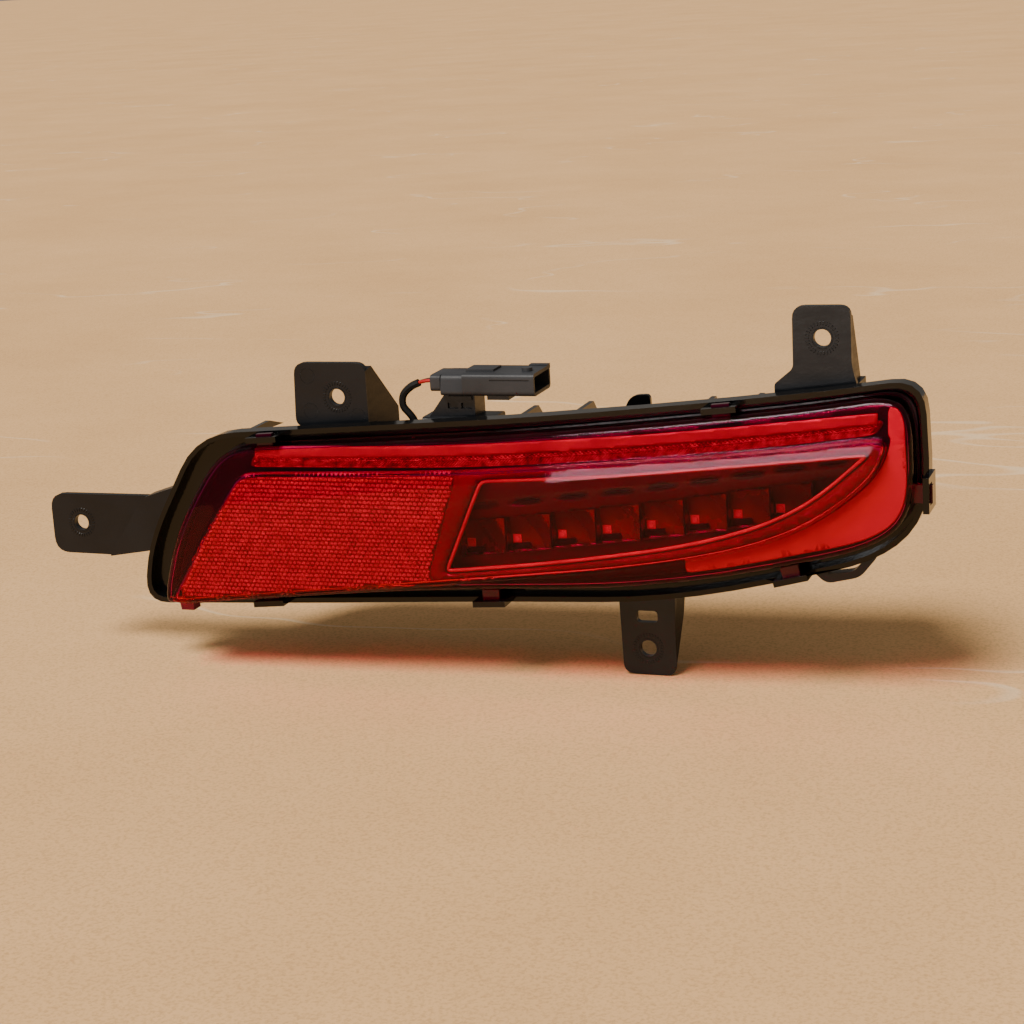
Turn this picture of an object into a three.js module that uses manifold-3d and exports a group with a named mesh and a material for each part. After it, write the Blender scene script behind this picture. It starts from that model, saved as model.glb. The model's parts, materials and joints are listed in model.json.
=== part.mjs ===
// Rear bumper stop and fog lamp with a reflex panel, as an assembly of separate pieces.
// Millimetres. +X runs along the lamp, +Y into the car, +Z up, so the lens faces -Y.
// Every piece is laid out from the middle of the lens face. The whole lamp is then moved so that
// the origin is the centre of the upper left bracket's bolt hole, on its seat face.
import * as THREE from "three";
import { mergeVertices } from "three/addons/utils/BufferGeometryUtils.js";
import Module from "manifold-3d";

const wasm = await Module();
wasm.setup();

// ---------------------------------------------------------------- driving dimensions

const GAP = 0.3; // clearance between pieces that touch
const CORNER_STEPS = 5; // segments in one rounded corner of an outline
const ROUND_STEPS = 24; // segments round a hole or a turned piece
const OVERCUT = 1; // how far a cutting tool runs past a face
const SHARPEST = 0.6; // the least that a corner is rounded
const HALF_EDGE = 0.48; // the most of an edge that one corner's rounding takes

// depths along Y, from the front of the raised lens face
const ISLAND_Y = 0;
const SKIRT_Y = 3;
const LENS_WALL = 2.2;
const LENS_FOOT_Y = 19.7;
const SEAL_Y = [20, 21.7];
const LIP_Y = 17;
const FLANGE_Y = [22, 25];
const BODY_BACK_Y = 76;
const HOUSING_WALL = 2.6;
const LIP_WIDTH = 2.2;

// outlines, each corner as [x, z, distance over which it is rounded]
const FLANGE_OUTLINE = [
  [-179.5, -50, 12], [-100, -47, 20], [-5, -42.5, 40], [62, -40.5, 40], [146, -20, 22],
  [164.5, 1, 20], [162.5, 52, 14], [112, 45, 40], [0, 34.5, 50], [-147, 26, 18], [-175, -22, 20],
];
const BODY_FRONT_OUTLINE = [
  [-163, -45, 6], [-5, -33, 35], [58, -32, 35], [142, -11.5, 18], [157, 6, 15],
  [155.5, 45.5, 12], [111, 38, 35], [-131, 19.5, 14], [-154, -15, 14],
];
const BODY_BACK_OUTLINE = [
  [-136, -34, 8], [-5, -24, 28], [52, -25, 28], [122, -5, 14], [136, 8, 12],
  [136, 35, 10], [100, 30, 28], [-120, 12, 14], [-136, -18, 12],
];
const LENS_OUTLINE = [
  [-164.5, -47, 4], [-38, -35, 40], [60, -31.5, 45], [145, -12.5, 20], [160.3, 1.5, 18],
  [158.6, 48, 13], [115, 41, 40], [0, 29.2, 50], [-133, 21.5, 10], [-155, -14, 20],
];
const ISLAND_OUTLINE = [
  [-159.5, -45, 2], [-38, -32, 40], [60, -21.5, 40], [112, -9, 30], [146, 15, 18],
  [152, 32, 6], [110, 26, 30], [-21, 15, 40], [-123, 12, 3],
];
const WINDOW_OUTLINE = [
  [-33, -28, 4], [12, -23.5, 24], [75, -14, 30], [116, 0, 24], [145, 25.5, 5],
  [110, 22, 24], [40, 15, 24], [-15, 12, 3],
];
const STRIP_OUTLINE = [
  [-120, 13.5, 1.5], [-20, 15.5, 30], [60, 21, 30], [112, 27, 24], [146, 31.5, 3],
  [149, 37.5, 3], [112, 33.5, 24], [60, 28, 30], [-20, 22, 30], [-118, 18.8, 2],
];
const TRAY_OUTLINE = [
  [-37, -30.5, 4], [12, -26, 24], [75, -19, 30], [126, -9, 16], [149, 14, 10],
  [149, 29.5, 5], [40, 18.5, 24], [-14, 15.5, 4],
];
const DIVIDE = { topX: -24, topZ: 16, bottomX: -42, bottomZ: -36 }; // reflex panel's right edge

// light sources: a row that climbs to the right and closes up slightly
const LED_COUNT = 9;
const LED_START = { x: -25.2, z: -18.3 };
const LED_PITCH = 20.3;
const LED_PITCH_LOSS = 0.24;
const LED_CLIMB = 0.11;
const LED_CLIMB_GAIN = 0.0002;
const LED_SIZE = 3.6;
const CUP_MOUTH = 7.6;
const CUP_OFFSET = { x: 5.4, z: 3.6 }; // from the LED to the middle of its cup's mouth
const CUP_THROAT = 3.2;
const CUP_WALL = 1.1;
const TRAY_Y = [12.6, 14.2];
const CUP_BACK_Y = 20.2;
const BOARD_Y = [20.8, 22.4];
const LED_DEPTH = 1.5;
const BOARD_HALF_HEIGHT = 9;
const BOARD_SCREW_PLACES = [0.5, 4.5, 7.5]; // in LED pitches from the first LED
const BOARD_SCREW_RADIUS = 1.4;

// mounting brackets
const SEAT_Y = 30;
const BRACKET_THICKNESS = 3;
const BOLT_HOLE_RADIUS = 3.5;
const SEAT_HOLE = { x: -86, z: 40 };
const LEFT_HOLE = { x: -215, z: -18 };
const RIGHT_HOLE = { x: 121, z: 65 };
const LOWER_HOLE = { x: 45.2, z: -64.6 };
const LOWER_SLOT = { x: 45.2, z: -50.9, halfLength: 4.5, halfHeight: 2.5 };

// snap loops along the flange: place of the middle, and the edge's angle in degrees
const SNAP_LOOPS = [
  { x: -113, z: 24.4, angle: 3.7 }, { x: 84, z: 39, angle: 5.3 },
  { x: 162.4, z: 8, angle: -90 }, { x: -116, z: -44.6, angle: 184.5 },
  { x: -16, z: -40.8, angle: 182.7 }, { x: 110, z: -26.3, angle: 193.7 },
];
const TAB = { length: 7.4, depth: 3 };
const LOOP = { length: 14, front: 9, reach: 2.4, window: 8.6 };
const TAB_Y = [12.4, 15.4];
const LENS_STOP = [[-158, -151], [8, 14], [-49.6, -44]];
const TOP_FINS = [[-128, 26], [-4, 34], [20, 36], [72, 38.5], [92, 40]]; // [x, top z]

const TOP_HUMP = [[34.9, 28, 1], [48.8, 28, 1], [48.4, 40.6, 2], [40, 40.2, 4]];

// connector and its lead
const PLUG = { x: [-37, 4], y: [23.5, 45], z: [42, 51.4] };
const PLUG_WALL = 1.5;
const SOCKET_DEPTH = 22;
const REAR_STEP = 10;
const GROMMET = { x: -53, y: 34, neckRadius: 3.7, headRadius: 5.4, bottomZ: 19, topZ: 27.6 };
const SLEEVE_RADIUS = 1.6;
const WIRE_RADIUS = 0.75;
const VENT = { x: -70, z: -10, radius: 4 };

// ---------------------------------------------------------------- materials

const plastic = (color, roughness = 0.5, metalness = 0) =>
  new THREE.MeshStandardMaterial({ color, roughness, metalness });
const lensRed = () => new THREE.MeshStandardMaterial({
  color: 0xb00612, roughness: 0.08, metalness: 0, transparent: true, opacity: 0.45,
});
const satinBlack = () => plastic(0x17171a, 0.45);
const connectorGrey = () => plastic(0x26272b, 0.5);
const metal = (color = 0xb9bcc2) => plastic(color, 0.3, 1);

// ---------------------------------------------------------------- solids

// A closed three.js geometry as a solid that can be joined and cut.
function solid(geometry) {
  const bare = geometry.clone();
  bare.deleteAttribute("normal");
  bare.deleteAttribute("uv");
  const merged = mergeVertices(bare, 1e-4);
  const mesh = new wasm.Mesh({
    numProp: 3,
    vertProperties: new Float32Array(merged.attributes.position.array),
    triVerts: new Uint32Array(merged.index.array),
  });
  return new wasm.Manifold(mesh);
}

function geometryOf(body) {
  const mesh = body.getMesh();
  const geometry = new THREE.BufferGeometry();
  geometry.setAttribute("position", new THREE.BufferAttribute(mesh.vertProperties, 3));
  geometry.setIndex(new THREE.BufferAttribute(mesh.triVerts, 1));
  geometry.computeVertexNormals();
  return geometry;
}

const joined = (bodies) => bodies.reduce((sum, body) => sum.add(body));

// The points of an outline given by its corners, counterclockwise seen from the front.
function ring(corners) {
  const shape = new THREE.Shape();
  corners.forEach(([x, z, ease], i) => {
    const corner = new THREE.Vector2(x, z);
    const [before, after] = [corners.at(i - 1), corners[(i + 1) % corners.length]].map((other) => {
      const edge = new THREE.Vector2(other[0], other[1]).sub(corner);
      return edge.setLength(Math.min(ease, edge.length() * HALF_EDGE)).add(corner);
    });
    if (i === 0) {
      shape.moveTo(before.x, before.y);
    } else {
      shape.lineTo(before.x, before.y);
    }
    shape.quadraticCurveTo(corner.x, corner.y, after.x, after.y);
  });
  const points = shape.getPoints(CORNER_STEPS);
  if (points[0].distanceTo(points.at(-1)) < 1e-6) {
    points.pop();
  }
  return points;
}

// An outline's corners moved inwards by a distance, or outwards where the distance is negative.
function inset(corners, distance) {
  return corners.map(([x, z, ease], i) => {
    const point = new THREE.Vector2(x, z);
    const before = corners.at(i - 1);
    const after = corners[(i + 1) % corners.length];
    const into = point.clone().sub(new THREE.Vector2(before[0], before[1])).normalize();
    const away = new THREE.Vector2(after[0], after[1]).sub(point).normalize();
    const first = new THREE.Vector2(-into.y, into.x);
    const second = new THREE.Vector2(-away.y, away.x);
    const miter = first.clone().add(second).divideScalar(1 + first.dot(second));
    point.addScaledVector(miter, distance);
    return [point.x, point.y, Math.max(ease - distance, SHARPEST)];
  });
}

// A polygon's points made solid between two depths.
function prism(points, front, back) {
  const shape = new THREE.Shape(points);
  const geometry = new THREE.ExtrudeGeometry(shape, { depth: back - front, bevelEnabled: false });
  geometry.rotateX(Math.PI / 2);
  geometry.translate(0, back, 0);
  return solid(geometry);
}

// A rounded outline made solid between two depths.
const slab = (corners, front, back) => prism(ring(corners), front, back);

// A polygon of [x, z] corners made solid between two depths.
const panel = (corners, front, back) =>
  prism(corners.map(([x, z]) => new THREE.Vector2(x, z)), front, back);

// A solid through outlines with equal numbers of points, each at its own depth.
function loft(sections) {
  const count = sections[0].points.length;
  const positions = sections.flatMap(({ points, y }) => points.flatMap((p) => [p.x, y, p.y]));
  const index = [];
  for (let s = 0; s + 1 < sections.length; s += 1) {
    for (let i = 0; i < count; i += 1) {
      const next = (i + 1) % count;
      const [a, b] = [s * count + i, s * count + next];
      const [c, d] = [b + count, a + count];
      index.push(a, c, b, a, d, c);
    }
  }
  const last = (sections.length - 1) * count;
  const [frontMiddle, backMiddle] = [sections.length * count, sections.length * count + 1];
  for (const { points, y } of [sections[0], sections.at(-1)]) {
    const middle = points.reduce((sum, p) => sum.add(p), new THREE.Vector2()).divideScalar(count);
    positions.push(middle.x, y, middle.y);
  }
  for (let i = 0; i < count; i += 1) {
    const next = (i + 1) % count;
    index.push(frontMiddle, i, next);
    index.push(backMiddle, last + next, last + i);
  }
  const geometry = new THREE.BufferGeometry();
  geometry.setAttribute("position", new THREE.Float32BufferAttribute(positions, 3));
  geometry.setIndex(index);
  return solid(geometry);
}

// A box between two limits on each axis.
function block([x0, x1], [y0, y1], [z0, z1]) {
  const geometry = new THREE.BoxGeometry(x1 - x0, y1 - y0, z1 - z0);
  geometry.translate((x0 + x1) / 2, (y0 + y1) / 2, (z0 + z1) / 2);
  return solid(geometry);
}

// A cylinder along Y between two depths.
function bar(x, z, radius, front, back, steps = ROUND_STEPS) {
  const geometry = new THREE.CylinderGeometry(radius, radius, back - front, steps);
  geometry.translate(x, (front + back) / 2, z);
  return solid(geometry);
}

// A cylinder along Z between two heights.
function post(x, y, radius, bottom, top, steps = ROUND_STEPS) {
  const geometry = new THREE.CylinderGeometry(radius, radius, top - bottom, steps);
  geometry.rotateX(Math.PI / 2);
  geometry.translate(x, y, (bottom + top) / 2);
  return solid(geometry);
}

// A round section swept along a smooth route through points.
function tube(points, radius, steps) {
  const route = new THREE.CatmullRomCurve3(points.map((p) => new THREE.Vector3(...p)));
  const section = new THREE.Shape();
  section.absarc(0, 0, radius, 0, 2 * Math.PI);
  return new THREE.ExtrudeGeometry(section, { steps, curveSegments: 4, extrudePath: route });
}

// ---------------------------------------------------------------- the lamp

const lamp = new THREE.Group();

function addPiece(name, shape, material) {
  const geometry = shape instanceof THREE.BufferGeometry ? shape : geometryOf(shape);
  const mesh = new THREE.Mesh(geometry, material);
  mesh.name = name;
  lamp.add(mesh);
}

// Where the LED with this number sits, counted from 0 and not only in whole steps.
function ledPlace(k) {
  const along = LED_PITCH * k - LED_PITCH_LOSS * k * k;
  return {
    x: LED_START.x + along,
    z: LED_START.z + LED_CLIMB * along + LED_CLIMB_GAIN * along * along,
  };
}

// The outside of the rear housing: rim, flange and tapered body, grown by a margin.
function housingEnvelope(margin) {
  const rim = slab(inset(FLANGE_OUTLINE, -margin), LIP_Y - margin, FLANGE_Y[1] + margin);
  const body = loft([
    { points: ring(inset(BODY_FRONT_OUTLINE, -margin)), y: FLANGE_Y[1] - 0.5 },
    { points: ring(inset(BODY_BACK_OUTLINE, -margin)), y: BODY_BACK_Y + margin },
  ]);
  return rim.add(body);
}

// A tool placed on the flange edge: length runs along the edge, height out of it.
function atEdge({ x, z, angle }, length, [y0, y1], [low, high]) {
  const geometry = new THREE.BoxGeometry(length, y1 - y0, high - low);
  geometry.translate(0, (y0 + y1) / 2, (low + high) / 2);
  geometry.rotateY(-THREE.MathUtils.degToRad(angle));
  geometry.translate(x, 0, z);
  return solid(geometry);
}

function makeHousing() {
  const front = ring(inset(BODY_FRONT_OUTLINE, HOUSING_WALL));
  const cavity = loft([
    { points: front, y: LIP_Y - OVERCUT },
    { points: front, y: FLANGE_Y[1] },
    { points: ring(inset(BODY_BACK_OUTLINE, HOUSING_WALL)), y: BODY_BACK_Y - HOUSING_WALL },
  ]);
  const channel = slab(inset(FLANGE_OUTLINE, LIP_WIDTH), LIP_Y - OVERCUT, FLANGE_Y[0]);
  let body = housingEnvelope(0);
  for (const place of SNAP_LOOPS) {
    body = body.add(atEdge(place, LOOP.length, [LOOP.front, FLANGE_Y[1]], [0, LOOP.reach]));
  }
  body = body.add(slab(TOP_HUMP, 38, 40));
  for (const [x, top] of TOP_FINS) {
    body = body.add(rib([[FLANGE_Y[1] - 1, 24], [60, 22], [46, top], [FLANGE_Y[1] - 1, top]], x, x + 2));
  }
  body = body.subtract(channel).subtract(cavity);
  for (const place of SNAP_LOOPS) {
    body = body.subtract(atEdge(place, LOOP.window, [TAB_Y[0] - 0.6, TAB_Y[1] + 0.6], [-4, 6]));
  }
  for (const k of BOARD_SCREW_PLACES) {
    const { x, z } = ledPlace(k);
    body = body.add(bar(x, z, 3.2, BOARD_Y[1] + GAP, BODY_BACK_Y - HOUSING_WALL + 0.5, 16));
    body = body.subtract(bar(x, z, BOARD_SCREW_RADIUS + GAP, BOARD_Y[1], BOARD_Y[1] + 16, 12));
  }
  const grommetHole = post(GROMMET.x, GROMMET.y, GROMMET.neckRadius + GAP, GROMMET.bottomZ - 6, 34);
  const ventHole = bar(VENT.x, VENT.z, VENT.radius + GAP, 60, BODY_BACK_Y + OVERCUT);
  addPiece("rear_housing", body.subtract(grommetHole).subtract(ventHole), satinBlack());
}

function makeLens() {
  const outside = slab(LENS_OUTLINE, SKIRT_Y, LENS_FOOT_Y)
    .add(slab(ISLAND_OUTLINE, ISLAND_Y, SKIRT_Y + 0.5));
  const inside = slab(inset(LENS_OUTLINE, LENS_WALL), SKIRT_Y + LENS_WALL, LENS_FOOT_Y + OVERCUT)
    .add(slab(inset(ISLAND_OUTLINE, LENS_WALL), ISLAND_Y + LENS_WALL, SKIRT_Y + LENS_WALL + 0.5));
  const tabs = SNAP_LOOPS.map((place) => atEdge(place, TAB.length, TAB_Y, [-9, LOOP.reach + 0.8]));
  const lens = joined([outside, ...tabs, block(...LENS_STOP)]).subtract(inside);
  addPiece("outer_lens", lens, lensRed());
  const seal = slab(LENS_OUTLINE, ...SEAL_Y)
    .subtract(slab(inset(LENS_OUTLINE, 3), SEAL_Y[0] - OVERCUT, SEAL_Y[1] + OVERCUT));
  addPiece("lens_seal", seal, plastic(0x0c0c0d, 0.9));
}

// Everything left of the reflex panel's right edge, and everything right of it.
const leftOfDivide = (y0, y1) => panel(
  [[-200, DIVIDE.bottomZ - 30], [DIVIDE.bottomX - 10.4, DIVIDE.bottomZ - 30],
    [DIVIDE.topX + 5.2, DIVIDE.topZ + 15], [-200, DIVIDE.topZ + 15]], y0, y1);

function makeReflex() {
  const field = inset(ISLAND_OUTLINE, LENS_WALL + 0.6);
  const reflex = slab(field, 3, 8).intersect(leftOfDivide(2, 9));
  addPiece("reflex_reflector", reflex, plastic(0xd3101b, 0.25));
  const cover = slab(inset(field, 1), 8.3, 10.2).intersect(leftOfDivide(8, 11));
  addPiece("reflex_back_cover", cover, plastic(0x8c0f14, 0.5));
}

function makeWindow() {
  const field = slab(inset(ISLAND_OUTLINE, LENS_WALL + 0.6), 3, 6);
  const opening = WINDOW_OUTLINE;
  const guide = slab(opening, 3.2, 6).subtract(slab(inset(opening, 2), 2, 7));
  addPiece("light_guide", guide, plastic(0xff3038, 0.15));
  const surround = field
    .subtract(leftOfDivide(2, 9).translate([GAP, 0, 0]))
    .subtract(slab(inset(opening, -GAP), 2, 7));
  addPiece("window_surround", surround, plastic(0x6d0710, 0.2));
  addPiece("prism_strip", slab(STRIP_OUTLINE, 6, 10), plastic(0xc31420, 0.2));
}

function makeBezel() {
  const field = inset(LENS_OUTLINE, LENS_WALL + 0.8);
  const bezel = slab(field, 10.6, 12.2).subtract(slab(WINDOW_OUTLINE, 9, 14));
  addPiece("inner_bezel", bezel, plastic(0x3a0508, 0.35));
  const rightSide = panel([[70, -60], [200, -60], [200, 70], [151, 70], [151, 30], [70, 0]], 6, 12);
  const trim = slab(inset(field, 1.5), 7, 10.2)
    .intersect(rightSide)
    .subtract(slab(inset(ISLAND_OUTLINE, -1.2), 5, 12))
    .subtract(slab(inset(STRIP_OUTLINE, -1.2), 5, 12));
  addPiece("side_reflector", trim, plastic(0xd0141c, 0.4));
}

// A four-sided funnel along Y: its throat is at an LED and its mouth is off to one side.
function funnel({ x, z }, mouth, throat, front, back) {
  const diagonal = Math.SQRT2;
  const lean = 1 / (TRAY_Y[0] - CUP_BACK_Y);
  const geometry = new THREE.CylinderGeometry(throat * diagonal, mouth * diagonal, back - front, 4);
  geometry.rotateY(Math.PI / 4);
  geometry.translate(0, (front + back) / 2 - CUP_BACK_Y, 0);
  const shear = new THREE.Matrix4().makeShear(0, 0, CUP_OFFSET.x * lean, CUP_OFFSET.z * lean, 0, 0);
  geometry.applyMatrix4(shear);
  geometry.translate(x, CUP_BACK_Y, z);
  return solid(geometry);
}

function makeTray() {
  let tray = slab(TRAY_OUTLINE, ...TRAY_Y);
  const places = Array.from({ length: LED_COUNT }, (_, k) => ledPlace(k));
  const slope = (CUP_MOUTH - CUP_THROAT) / (CUP_BACK_Y - TRAY_Y[0]);
  for (const place of places) {
    tray = tray.add(funnel(place, CUP_MOUTH + CUP_WALL, CUP_THROAT + CUP_WALL, TRAY_Y[0], CUP_BACK_Y));
  }
  for (const place of places) {
    const [mouth, throat] = [CUP_MOUTH + slope * OVERCUT, CUP_THROAT - slope * OVERCUT];
    tray = tray.subtract(funnel(place, mouth, throat, TRAY_Y[0] - OVERCUT, CUP_BACK_Y + OVERCUT));
  }
  addPiece("led_reflector_tray", tray, plastic(0x9c1018, 0.25, 0.2));
}

function makeBoard() {
  const stations = [-0.55, 1, 3, 5, 7, 8.5].map(ledPlace);
  const lower = stations.map(({ x, z }) => [x, z - BOARD_HALF_HEIGHT]);
  const upper = stations.map(({ x, z }) => [x, z + BOARD_HALF_HEIGHT]).reverse();
  let board = panel([...lower, ...upper], ...BOARD_Y);
  BOARD_SCREW_PLACES.forEach((k, i) => {
    const { x, z } = ledPlace(k);
    board = board.subtract(
      bar(x, z, BOARD_SCREW_RADIUS + GAP, BOARD_Y[0] - OVERCUT, BOARD_Y[1] + OVERCUT, 12));
    const screw = bar(x, z, 2.3, BOARD_Y[0] - GAP - 1.6, BOARD_Y[0] - GAP, 16)
      .add(bar(x, z, BOARD_SCREW_RADIUS, BOARD_Y[0] - GAP - 0.5, BOARD_Y[1] + 14, 12));
    addPiece(`board_screw_${i + 1}`, screw, metal());
  });
  addPiece("circuit_board", board, plastic(0x0e4a2a, 0.4));
  for (let k = 0; k < LED_COUNT; k += 1) {
    const { x, z } = ledPlace(k);
    const half = LED_SIZE / 2;
    const back = BOARD_Y[0] - GAP;
    const base = block([x - half, x + half], [back - LED_DEPTH, back], [z - half, z + half]);
    const dome = bar(x, z, 1.3, back - LED_DEPTH - 0.8, back - LED_DEPTH + 0.3, 12);
    addPiece(`led_${k + 1}`, base.add(dome), plastic(0xf2d8c8, 0.3));
  }
  const back = BOARD_Y[1] + GAP;
  const component = (name, k, rise, [width, depth, height], material) => {
    const { x, z } = ledPlace(k);
    const middle = z + rise;
    addPiece(name, block([x - width / 2, x + width / 2], [back, back + depth],
      [middle - height / 2, middle + height / 2]), material);
  };
  component("driver_chip", 2.5, 0, [6, 1.7, 5], plastic(0x111113, 0.5));
  component("surge_diode", 3.4, 3, [4.4, 2.3, 3.6], plastic(0x151517, 0.5));
  component("ballast_resistor", 5.6, 0, [6.4, 1.2, 3.2], plastic(0x1b1b1e, 0.4));
  component("board_header", 1.45, -1, [9, 6, 6], plastic(0xdedad0, 0.5));
  const { x, z } = ledPlace(6.3);
  addPiece("smoothing_capacitor", bar(x, z, 3.1, back, back + 7.7, 16), metal(0x8e9196));
}

// ---------------------------------------------------------------- brackets

// A flat plate with a bolt hole, its front face on the seat plane.
function seatPlate(corners, hole) {
  return slab(corners, SEAT_Y, SEAT_Y + BRACKET_THICKNESS)
    .subtract(bar(hole.x, hole.z, BOLT_HOLE_RADIUS, SEAT_Y - OVERCUT, SEAT_Y + BRACKET_THICKNESS + OVERCUT));
}

// A solid of constant section along X: corners are [y, z]. Flare moves it along X with depth.
function rib(corners, x0, x1, flare = 0) {
  const shape = new THREE.Shape(corners.map(([y, z]) => new THREE.Vector2(y, z)));
  const geometry = new THREE.ExtrudeGeometry(shape, { depth: x1 - x0, bevelEnabled: false });
  geometry.rotateY(Math.PI / 2);
  geometry.rotateX(Math.PI / 2);
  geometry.translate(x0, -SEAT_Y, 0);
  geometry.applyMatrix4(new THREE.Matrix4().makeShear(0, 0, flare, 0, 0, 0));
  geometry.translate(0, SEAT_Y, 0);
  return solid(geometry);
}

function makeBrackets() {
  const clear = housingEnvelope(GAP);
  const plateBack = SEAT_Y + BRACKET_THICKNESS;

  const leftPlate = seatPlate([[-229.5, -32, 7], [-199, -32.5, 2], [-178, -5, 2], [-229.5, -5, 7]], LEFT_HOLE);
  const leftArm = slab([[-200, -32, 1], [-148, -24, 1], [-140, 8, 1], [-181, -5, 1]], 26, 37)
    .subtract(panel([[-300, -60], [-184, -60], [-184, 40], [-300, 40]], 33, 40));
  const leftWeb = block([-186, -150], [26, 37], [-17.5, -14.5]);
  addPiece("left_bracket", joined([leftPlate, leftArm, leftWeb]).subtract(clear)
    .subtract(bar(LEFT_HOLE.x, LEFT_HOLE.z, BOLT_HOLE_RADIUS, 20, 40)), satinBlack());

  const upperLeft = seatPlate([[-106, 27, 4.5], [-72.3, 27, 2], [-72.3, 54.6, 5], [-104.8, 54.6, 5]], SEAT_HOLE);
  const gusset = rib([[SEAT_Y, 27], [SEAT_Y + 3, 22], [54, 20], [54, 31.5], [35, 52.5], [SEAT_Y, 51]],
    -75, -72.4, 0.17);
  const upperLeftFoot = block([-99, -71], [SEAT_Y + 1, 54], [18, 28.5]);
  addPiece("upper_left_bracket", joined([upperLeft, gusset, upperLeftFoot]).subtract(clear), satinBlack());

  const upperRight = seatPlate(
    [[101.6, 41.5, 1], [134.5, 45.5, 1], [132.3, 54, 3], [132.3, 77.7, 4.5], [109.4, 77.7, 5],
      [109.2, 53, 2], [101.6, 46.8, 1]], RIGHT_HOLE);
  const rightFoot = block([102.5, 134], [SEAT_Y, 50], [30, 46.3]);
  const rightGussets = [[109.8, 112], [129.6, 131.8]].map(([x0, x1]) =>
    rib([[SEAT_Y, 44], [48, 44], [36, 73], [SEAT_Y, 73]], x0, x1, 0.04));
  addPiece("upper_right_bracket", joined([upperRight, rightFoot, ...rightGussets]).subtract(clear)
    .subtract(bar(RIGHT_HOLE.x, RIGHT_HOLE.z, BOLT_HOLE_RADIUS, 20, 60)), satinBlack());

  const slot = slab([
    [LOWER_SLOT.x - LOWER_SLOT.halfLength, LOWER_SLOT.z - LOWER_SLOT.halfHeight, 1.8],
    [LOWER_SLOT.x + LOWER_SLOT.halfLength, LOWER_SLOT.z - LOWER_SLOT.halfHeight, 1.8],
    [LOWER_SLOT.x + LOWER_SLOT.halfLength, LOWER_SLOT.z + LOWER_SLOT.halfHeight, 1.8],
    [LOWER_SLOT.x - LOWER_SLOT.halfLength, LOWER_SLOT.z + LOWER_SLOT.halfHeight, 1.8],
  ], SEAT_Y - OVERCUT, plateBack + OVERCUT);
  const lower = seatPlate([[34.4, -75.4, 4], [56.2, -76.2, 4], [57.4, -44, 1], [57.4, -22, 1], [33.6, -22, 1],
    [33.6, -44, 1]], LOWER_HOLE);
  const lowerFoot = block([33.6, 57.4], [SEAT_Y, 44], [-40, -24]);
  const lowerGusset = rib([[SEAT_Y, -36], [44, -36], [40, -52], [SEAT_Y, -72]], 55, 57, 0.12);
  addPiece("lower_bracket", joined([lower, lowerFoot, lowerGusset]).subtract(slot).subtract(clear), satinBlack());

  const loop = slab([[116, -12, 1], [116.5, -25, 3], [122.5, -30.6, 3], [136, -27.6, 3], [143, -19, 2],
    [143, -12, 1]], 18.5, 24)
    .subtract(slab([[121, -12, 1], [122.5, -26.8, 2], [133.8, -25.2, 2], [138, -20, 2], [138, -12, 1]], 17, 25));
  addPiece("lower_clip_loop", loop.subtract(clear), satinBlack());
}

// ---------------------------------------------------------------- connector, lead and vent

function makeConnector() {
  const clear = housingEnvelope(GAP);
  const pedestal = panel([[-46.5, 29], [-23.5, 30.5], [-23.5, 41.6], [-37, 41.6]], 28, 40);
  const foot = rib(ring([[25.6, 27, 2], [42, 27, 2], [42, 32.6, 2], [25.6, 32.6, 2]])
    .map((p) => [p.x, p.y]), -46.5, -15.5);
  const root = block([-44, -18], [29, 42], [18, 30]);
  const grips = [[-35.5, -31], [-29.5, -25]].map((x) => block(x, [26, 29.2], [36, 38.4]));
  const rail = joined([pedestal, foot, root, block([-35, -24.5], [27, 29], [39.8, 41.4])])
    .subtract(joined(grips))
    .subtract(clear);
  addPiece("connector_bracket", rail, satinBlack());

  const [x0, x1] = PLUG.x;
  const [y0, y1] = PLUG.y;
  const [z0, z1] = PLUG.z;
  const corner = 2.2;
  const section = [[y0, z0, corner], [y1, z0, corner], [y1, z1, corner], [y0, z1, corner]];
  const hollow = inset(section, PLUG_WALL);
  const along = (corners, start, end) => rib(ring(corners).map((p) => [p.x, p.y]), start, end);
  const rear = [[y0 + 0.7, z0, corner], [y1 - 0.7, z0, corner], [y1 - 2.5, z1 - 0.8, corner],
    [y0 + 2.5, z1 - 0.8, corner]];
  const body = along(section, x0 + REAR_STEP, x1)
    .add(along(rear, x0, x0 + REAR_STEP + OVERCUT))
    .add(block([x0 + REAR_STEP, x0 + 22], [29, 39], [z1 - 0.5, z1 + 0.9]))
    .add(post(x1 - 5, 31, 2.2, z1 - 0.5, z1 + 1.5, 16))
    .add(block([x1 - 8, x1], [y1 - 3, y1 + 0.6], [z1 - 1.4, z1 + 0.5]))
    .add(block([-17.4, -8], [26.5, 34], [z0 - 1.9, z0 + 0.5]))
    .subtract(block([x1 - 19, x1 - 2], [y0 - OVERCUT, y0 + 0.45], [z1 - 2.9, z1 - 2.3]))
    .subtract(along(hollow, x1 - SOCKET_DEPTH, x1 + OVERCUT));
  addPiece("connector_body", body, connectorGrey());
  const capSection = [[y0 + 2, z0 + 1.5, 2], [y1 - 2, z0 + 1.5, 2], [y1 - 2, z1 - 1, 2],
    [y0 + 2, z1 - 1, 2]];
  const ports = [31.6, 34.4].map((y) => solid(tube([[-44, y, 47], [-37, y, 47]], 1.15, 2)));
  const cap = along(capSection, x0 - 4.8, x0 - GAP).subtract(joined(ports));
  addPiece("connector_rear_cap", cap, plastic(0x1c1d20, 0.6));
  const middleZ = (z0 + z1) / 2;
  const floorX = x1 - SOCKET_DEPTH;
  [29.5, 34, 38.5].forEach((y, i) => {
    const blade = block([floorX + GAP, floorX + 13], [y - 1.1, y + 1.1], [middleZ - 0.4, middleZ + 0.4]);
    addPiece(`connector_pin_${i + 1}`, blade, metal(0xc8b27a));
  });
}

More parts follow.
